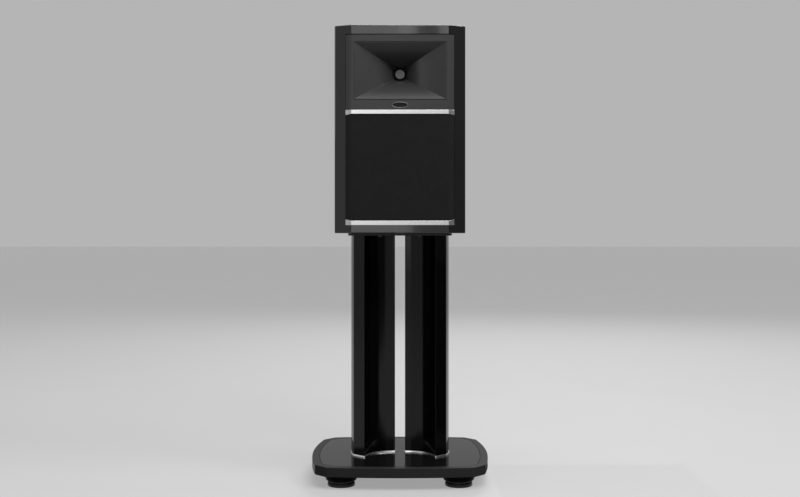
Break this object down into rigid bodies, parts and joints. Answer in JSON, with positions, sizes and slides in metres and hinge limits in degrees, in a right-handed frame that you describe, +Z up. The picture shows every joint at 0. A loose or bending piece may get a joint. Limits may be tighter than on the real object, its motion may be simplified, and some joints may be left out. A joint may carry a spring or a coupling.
{
  "type": "bookshelf speaker",
  "caption": "Two-way bookshelf loudspeaker with a rectangular horn, a cloth grille between bright bars, on a floor stand with scooped twin columns.",
  "frame": {"origin": "on the floor under the middle of the base plate", "axes": "+Z up, the front of the speaker faces -Y, +X to the viewer's right"},
  "size_m": [0.4518, 0.425, 1.133],
  "materials": {
    "base_satin": "satin black paint",
    "base_gloss": "black gloss",
    "brass_insert": "turned",
    "column_gloss": "black gloss paint",
    "bright_trim": "polished",
    "plate_black": "black satin paint",
    "bolt_steel": "black oxide",
    "cabinet_gloss": "black piano lacquer",
    "baffle_board": "matte black paint",
    "rear_board": "black lacquer",
    "bare_board": "bare fibreboard",
    "damping_wool": "felted",
    "horn_moulding": "fine matte",
    "plaque_black": "gloss with a bright rim",
    "bright_bar": "satin anodised",
    "grille_frame": "matte",
    "grille_cloth": "woven",
    "magnet_plated": "nickel plated",
    "basket_cast": "textured black paint",
    "gasket_rubber": "matte",
    "surround_rubber": "matte",
    "cone_fibre": "woven fibre skin",
    "spider_cloth": "doped cloth",
    "coil_copper": "wound copper",
    "motor_steel": "zinc plated",
    "magnet_ferrite": "sintered",
    "screw_black": "black oxide",
    "screw_zinc": "zinc plated",
    "driver_cast": "black anodised",
    "plug_grey": "satin",
    "diaphragm_film": "thin polymer film",
    "port_moulding": "fine texture",
    "terminal_metal": "brushed black",
    "post_gold": "gold plated",
    "knob_black": "gloss",
    "knob_red": "gloss",
    "circuit_board": "solder mask",
    "circuit_parts": "wound copper",
    "wire_jacket": "matte",
    "foot_black": "black anodised",
    "foot_ring": "satin rubber"
  },
  "bodies": {
    "speaker_and_stand": {"base_plate": "base_satin", "base_inlay": "base_gloss", "base_inserts": "brass_insert", "column_left": "column_gloss", "column_right": "column_gloss", "column_trims": "bright_trim", "top_plate": "plate_black", "column_bolts": "bolt_steel", "cabinet_bolts": "bolt_steel", "cabinet_shell": "cabinet_gloss", "front_baffle": "baffle_board", "rear_panel": "rear_board", "window_brace": "bare_board", "damping_pads": "damping_wool", "horn": "horn_moulding", "horn_screws": "screw_black", "plaque": "plaque_black", "trim_bar_upper": "bright_bar", "trim_bar_lower": "bright_bar", "baffle_magnets": "magnet_plated", "woofer_basket": "basket_cast", "woofer_gasket": "gasket_rubber", "woofer_surround": "surround_rubber", "woofer_spider": "spider_cloth", "woofer_plates": "motor_steel", "woofer_magnet": "magnet_ferrite", "woofer_screws": "screw_black", "driver_housing": "driver_cast", "driver_plug": "plug_grey", "driver_screws": "screw_black", "port_tube": "port_moulding", "terminal_plate": "terminal_metal", "terminal_posts": "post_gold", "terminal_screws": "screw_black", "crossover_board": "circuit_board", "crossover_parts": "circuit_parts", "inner_wiring": "wire_jacket"},
    "woofer_moving": {"woofer_cone": "cone_fibre", "woofer_dust_cap": "cone_fibre", "woofer_coil": "coil_copper"},
    "diaphragm": {"driver_diaphragm": "diaphragm_film"},
    "grille": {"grille_frame": "grille_frame", "grille_cloth": "grille_cloth", "grille_magnets": "magnet_plated"},
    "post_left_collar": {"post_collar_left": "post_gold"},
    "post_left_knob": {"post_knob_left": "knob_black"},
    "post_right_collar": {"post_collar_right": "post_gold"},
    "post_right_knob": {"post_knob_right": "knob_red"},
    "foot_fl": {"foot_bowl_fl": "foot_black", "foot_ring_fl": "foot_ring"},
    "foot_screw_fl_turning": {"foot_screw_fl": "screw_zinc"},
    "foot_fr": {"foot_bowl_fr": "foot_black", "foot_ring_fr": "foot_ring"},
    "foot_screw_fr_turning": {"foot_screw_fr": "screw_zinc"},
    "foot_rl": {"foot_bowl_rl": "foot_black", "foot_ring_rl": "foot_ring"},
    "foot_screw_rl_turning": {"foot_screw_rl": "screw_zinc"},
    "foot_rr": {"foot_bowl_rr": "foot_black", "foot_ring_rr": "foot_ring"},
    "foot_screw_rr_turning": {"foot_screw_rr": "screw_zinc"}
  },
  "joints": [
    {"name": "woofer_excursion", "type": "slide", "parent": "speaker_and_stand", "child": "woofer_moving", "axis": [0, -1, 0], "range_m": [-0.008, 0.008], "stiffness_N_per_m": 1500, "deforming": ["woofer_surround", "woofer_spider"]},
    {"name": "diaphragm_excursion", "type": "slide", "parent": "speaker_and_stand", "child": "diaphragm", "axis": [0, -1, 0], "range_m": [-0.0003, 0.0003], "stiffness_N_per_m": 2000},
    {"name": "grille_release", "type": "slide", "parent": "speaker_and_stand", "child": "grille", "axis": [0, -1, 0], "range_m": [0, 0.06]},
    {"name": "foot_fl_level", "type": "slide", "parent": "speaker_and_stand", "child": "foot_fl", "axis": [0, 0, 1], "range_m": [-0.01, 0]},
    {"name": "foot_fl_screw", "type": "hinge", "parent": "foot_fl", "child": "foot_screw_fl_turning", "pos_m": [-0.145, -0.148, 0.031], "axis": [0, 0, 1], "range_deg": [-2410, 0]},
    {"name": "foot_fr_level", "type": "slide", "parent": "speaker_and_stand", "child": "foot_fr", "axis": [0, 0, 1], "range_m": [-0.01, 0]},
    {"name": "foot_fr_screw", "type": "hinge", "parent": "foot_fr", "child": "foot_screw_fr_turning", "pos_m": [0.145, -0.148, 0.031], "axis": [0, 0, 1], "range_deg": [-2410, 0]},
    {"name": "foot_rl_level", "type": "slide", "parent": "speaker_and_stand", "child": "foot_rl", "axis": [0, 0, 1], "range_m": [-0.01, 0]},
    {"name": "foot_rl_screw", "type": "hinge", "parent": "foot_rl", "child": "foot_screw_rl_turning", "pos_m": [-0.145, 0.148, 0.031], "axis": [0, 0, 1], "range_deg": [-2410, 0]},
    {"name": "foot_rr_level", "type": "slide", "parent": "speaker_and_stand", "child": "foot_rr", "axis": [0, 0, 1], "range_m": [-0.01, 0]},
    {"name": "foot_rr_screw", "type": "hinge", "parent": "foot_rr", "child": "foot_screw_rr_turning", "pos_m": [0.145, 0.148, 0.031], "axis": [0, 0, 1], "range_deg": [-2410, 0]},
    {"name": "post_left_clamp", "type": "slide", "parent": "speaker_and_stand", "child": "post_left_collar", "axis": [0, 1, 0], "range_m": [0, 0.006]},
    {"name": "post_left_knob_turn", "type": "hinge", "parent": "post_left_collar", "child": "post_left_knob", "pos_m": [-0.019, 0.194, 0.733], "axis": [0, 1, 0], "range_deg": [0, 2170]},
    {"name": "post_right_clamp", "type": "slide", "parent": "speaker_and_stand", "child": "post_right_collar", "axis": [0, 1, 0], "range_m": [0, 0.006]},
    {"name": "post_right_knob_turn", "type": "hinge", "parent": "post_right_collar", "child": "post_right_knob", "pos_m": [0.019, 0.194, 0.733], "axis": [0, 1, 0], "range_deg": [0, 2170]}
  ],
  "couplings": [
    {"joint": "foot_fl_screw", "follows": "foot_fl_level", "rad_per_m": 4188.8},
    {"joint": "foot_fr_screw", "follows": "foot_fr_level", "rad_per_m": 4188.8},
    {"joint": "foot_rl_screw", "follows": "foot_rl_level", "rad_per_m": 4188.8},
    {"joint": "foot_rr_screw", "follows": "foot_rr_level", "rad_per_m": 4188.8},
    {"joint": "post_left_knob_turn", "follows": "post_left_clamp", "rad_per_m": 6283.2},
    {"joint": "post_right_knob_turn", "follows": "post_right_clamp", "rad_per_m": 6283.2}
  ]
}
